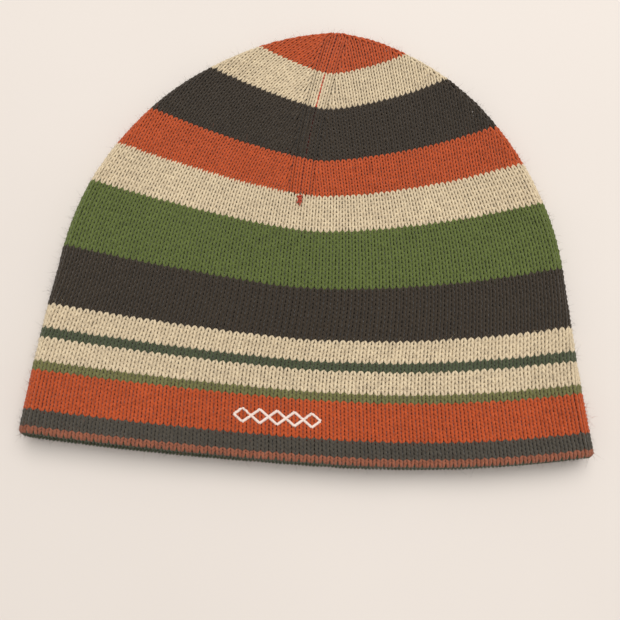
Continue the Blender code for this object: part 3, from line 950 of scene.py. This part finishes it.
def on_motif(u, v, raised):
    """A point of the embroidery: across the hat, up it and out of it, from the motif's middle."""
    rise = rise_of(MOTIF_COURSE) + v / (BODY_LENGTH * (1 - COURSE_STRETCH))
    return lay(-DART_ROLL + MOTIF_OFFSET + u, rise, MOTIF_SURFACE + raised)


def satin_stroke(strands, start, end, draw):
    """Threads laid close together across a stroke, from one of its edges to the other."""
    start, end = np.array(start), np.array(end)
    run = np.linalg.norm(end - start)
    count = max(3, int(run / SATIN_SPACING))
    ahead = (end - start) / run
    across = np.array([-ahead[1], ahead[0]])
    way = across * math.cos(SATIN_SLANT) + ahead * math.sin(SATIN_SLANT)
    step = np.array([-1.0, -0.88, -0.45, 0.0, 0.45, 0.88, 1.0])
    centre = start + (end - start) * ((np.arange(count) + 0.5) / count)[:, None]
    half = MOTIF_STROKE / 2 * (1 + draw.normal(0, 0.05, (count, 1)))
    flat = centre[:, None] + way * (half * step)[..., None]
    dips = 0.00035 * (np.abs(step) > 0.95)
    raised = (SATIN_LIFT * (1 - np.abs(step) ** 3) - dips) * np.ones((count, 1))
    raised = raised + draw.normal(0, 0.00002, (count, 1))
    path = on_motif(flat[..., 0], flat[..., 1], raised)
    out = unit(on_motif(flat[..., 0], flat[..., 1], raised + 1e-4) - path)
    heading = unit(np.gradient(path, axis=1))
    beside_it = unit(np.cross(heading, out))
    thick = SATIN_HALF_THICKNESS * np.ones((count, len(step)))
    length = (step + 1) * MOTIF_STROKE / 2 + draw.uniform(0, 1, (count, 1))
    rings = sweep(path, beside_it, np.cross(beside_it, heading), thick, thick * 0.8, 5)
    strands.add(rings, length, twist=0.0)


def embroidered_motif():
    strands = Strands()
    draw = np.random.default_rng(341)
    half = MOTIF_PITCH / 2
    tall = (MOTIF_HEIGHT - MOTIF_STROKE) / 2
    for i in range(MOTIF_DIAMONDS):
        middle = (i - (MOTIF_DIAMONDS - 1) / 2) * MOTIF_PITCH
        corners = [(middle - half, 0), (middle, tall), (middle + half, 0), (middle, -tall)]
        for a, b in zip(corners, corners[1:] + corners[:1]):
            satin_stroke(strands, a, b, draw)
    finish_thread(strands, "embroidered_motif", WHITE_THREAD)


embroidered_motif()


# --- Embroidery backing -----------------------------------------------------------------------
# A strip of thin bonded fleece behind the embroidery, on the inside of the front, which keeps
# the knitting from stretching under the needle.

BACKING_SIZE = (0.044, 0.0138)
BACKING_THICKNESS = 0.0004
BACKING_DEPTH = -0.0017       # from the middle of the fabric, towards the inside


def cloth_strip(name, size, thickness, columns, rows, place, material):
    """A flat strip of cloth: a grid laid where place says, given its thickness and closed."""
    deselect()
    bpy.ops.mesh.primitive_grid_add(x_subdivisions=columns, y_subdivisions=rows, size=1)
    strip = bpy.context.object
    strip.name = name
    co = np.zeros(len(strip.data.vertices) * 3, np.float32)
    strip.data.vertices.foreach_get("co", co)
    flat = co.reshape(-1, 3)[:, :2] * np.array(size)
    strip.data.vertices.foreach_set("co", place(flat[:, 0], flat[:, 1]).astype(np.float32).ravel())
    thicken = strip.modifiers.new("thickness", "SOLIDIFY")
    thicken.thickness = thickness
    thicken.offset = 0.0
    bpy.ops.object.modifier_apply(modifier=thicken.name)
    bpy.ops.object.shade_smooth_by_angle(angle=math.radians(40))
    strip.data.materials.append(material)
    return strip


def fleece():
    """Bonded fleece: pressed white fibres in every direction."""
    material, nodes, links = new_material("bonded_fleece")
    shader = nodes["Principled BSDF"]
    shader.inputs["Roughness"].default_value = 0.9
    shader.inputs["Sheen Weight"].default_value = 0.3
    place = nodes.new("ShaderNodeTexCoord")
    fibres = noise(nodes, 1400.0, 5.0)
    fibres.inputs["Distortion"].default_value = 1.5
    ramp = ramp_of(nodes, (0, linear((196, 192, 184))), (1, linear((238, 235, 228))))
    links.new(place.outputs["Object"], fibres.inputs["Vector"])
    links.new(fibres.outputs["Fac"], ramp.inputs["Fac"])
    links.new(ramp.outputs["Color"], shader.inputs["Base Color"])
    add_bump(nodes, links, fibres.outputs["Fac"], shader, strength=0.5, distance=0.0001)
    return material


def behind_motif(u, v):
    return on_motif(u, v, BACKING_DEPTH - MOTIF_SURFACE)


backing = cloth_strip("backing_strip", BACKING_SIZE, BACKING_THICKNESS, columns=30, rows=10,
                      place=behind_motif, material=fleece())
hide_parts("embroidery_backing")
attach(backing, "hat")


# --- Main label -------------------------------------------------------------------------------
# A woven ribbon label on the inside of the back, left plain, held by one line of white lockstitch
# along its upper edge.

MAIN_LABEL_SIZE = (0.042, 0.014)
MAIN_LABEL_WAVE = 0.00015
LABEL_THICKNESS = 0.0005
STITCH_INSET = 0.0019
STITCH_PITCH = 0.0026
label_low, label_high = (np.array(corner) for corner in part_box("main_label"))
label_middle = (label_low + label_high) / 2


def woven_ribbon():
    """Close plain-woven ribbon in warm white."""
    material, nodes, links = new_material("woven_ribbon")
    shader = nodes["Principled BSDF"]
    shader.inputs["Roughness"].default_value = 0.5
    shader.inputs["Sheen Weight"].default_value = 0.25
    place = nodes.new("ShaderNodeTexCoord")
    warp = nodes.new("ShaderNodeTexWave")
    warp.bands_direction = "X"
    warp.inputs["Scale"].default_value = 900.0
    weft = nodes.new("ShaderNodeTexWave")
    weft.bands_direction = "Y"
    weft.inputs["Scale"].default_value = 900.0
    uneven = noise(nodes, 500.0, 2.0)
    crossing = arithmetic(nodes, "MULTIPLY")
    both = arithmetic(nodes, "MULTIPLY")
    ramp = ramp_of(nodes, (0, linear((186, 178, 164))), (0.35, linear((228, 221, 208))))
    for texture in (warp, weft, uneven):
        links.new(place.outputs["Object"], texture.inputs["Vector"])
    links.new(warp.outputs["Fac"], crossing.inputs[0])
    links.new(weft.outputs["Fac"], crossing.inputs[1])
    links.new(crossing.outputs[0], both.inputs[0])
    links.new(uneven.outputs["Fac"], both.inputs[1])
    links.new(both.outputs[0], ramp.inputs["Fac"])
    links.new(ramp.outputs["Color"], shader.inputs["Base Color"])
    add_bump(nodes, links, crossing.outputs[0], shader, strength=0.35, distance=0.0001)
    return material


RIBBON = woven_ribbon()


def on_main_label(u, v):
    wave = MAIN_LABEL_WAVE * np.sin(u * 210) * np.clip(0.4 - v / MAIN_LABEL_SIZE[1], 0, 1)
    return np.stack([label_middle[0] + u, label_middle[1] + v, label_middle[2] + wave], -1)


label = cloth_strip("main_label_ribbon", MAIN_LABEL_SIZE, LABEL_THICKNESS, columns=40, rows=14,
                    place=on_main_label, material=RIBBON)
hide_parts("main_label")
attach(label, "hat")


def lockstitch(node, start, end, body="hat"):
    """A line of machine stitches on a label."""
    start, end = np.array(start), np.array(end)
    ahead = unit(end - start)
    sideways = np.array([-ahead[1], ahead[0], 0])

    def place(along, aside, raised):
        return (start + ahead * along[..., None] + sideways * aside[..., None]
                + np.array([0, 0, 1.0]) * raised[..., None])

    run = float(np.linalg.norm(end - start))
    strands = Strands()
    chain(strands, place, 0.0, run, round(run / STITCH_PITCH),
          side=0.0, lift=0.00022, half=0.0002, draw=np.random.default_rng(351), hands=(1,))
    return finish_thread(strands, node, WHITE_THREAD, body)


stitch_y, stitch_z = label_high[1] - STITCH_INSET, label_high[2] + 0.0001
lockstitch("main_label_stitches", (label_low[0] + STITCH_INSET, stitch_y, stitch_z),
           (label_high[0] - STITCH_INSET, stitch_y, stitch_z))


# --- Care label -------------------------------------------------------------------------------
# A shorter and broader ribbon, sewn in at the left side seam by one of its short edges only, so
# that its free end can lift about that edge.

CARE_LABEL_SIZE = (0.034, 0.018)
CARE_LABEL_CURL = 0.0006
CARE_LABEL_WAVE = 0.00012
care_low, care_high = (np.array(corner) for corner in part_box("care_label"))
care_middle = (care_low + care_high) / 2


def on_care_label(u, v):
    free = u / CARE_LABEL_SIZE[0] + 0.5
    lift = CARE_LABEL_CURL * free ** 2 + CARE_LABEL_WAVE * np.sin(v * 330) * free
    return np.stack([care_middle[0] + u, care_middle[1] + v, care_middle[2] + lift], -1)


care = cloth_strip("care_label_ribbon", CARE_LABEL_SIZE, LABEL_THICKNESS, columns=34, rows=18,
                   place=on_care_label, material=RIBBON)
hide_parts("care_label")
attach(care, "care_label")

stitches_low, stitches_high = (np.array(corner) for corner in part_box("care_label_stitches"))
stitches_x = (stitches_low[0] + stitches_high[0]) / 2
lockstitch("care_label_stitches", (stitches_x, stitches_low[1], stitches_low[2] + 0.0002),
           (stitches_x, stitches_high[1], stitches_low[2] + 0.0002))
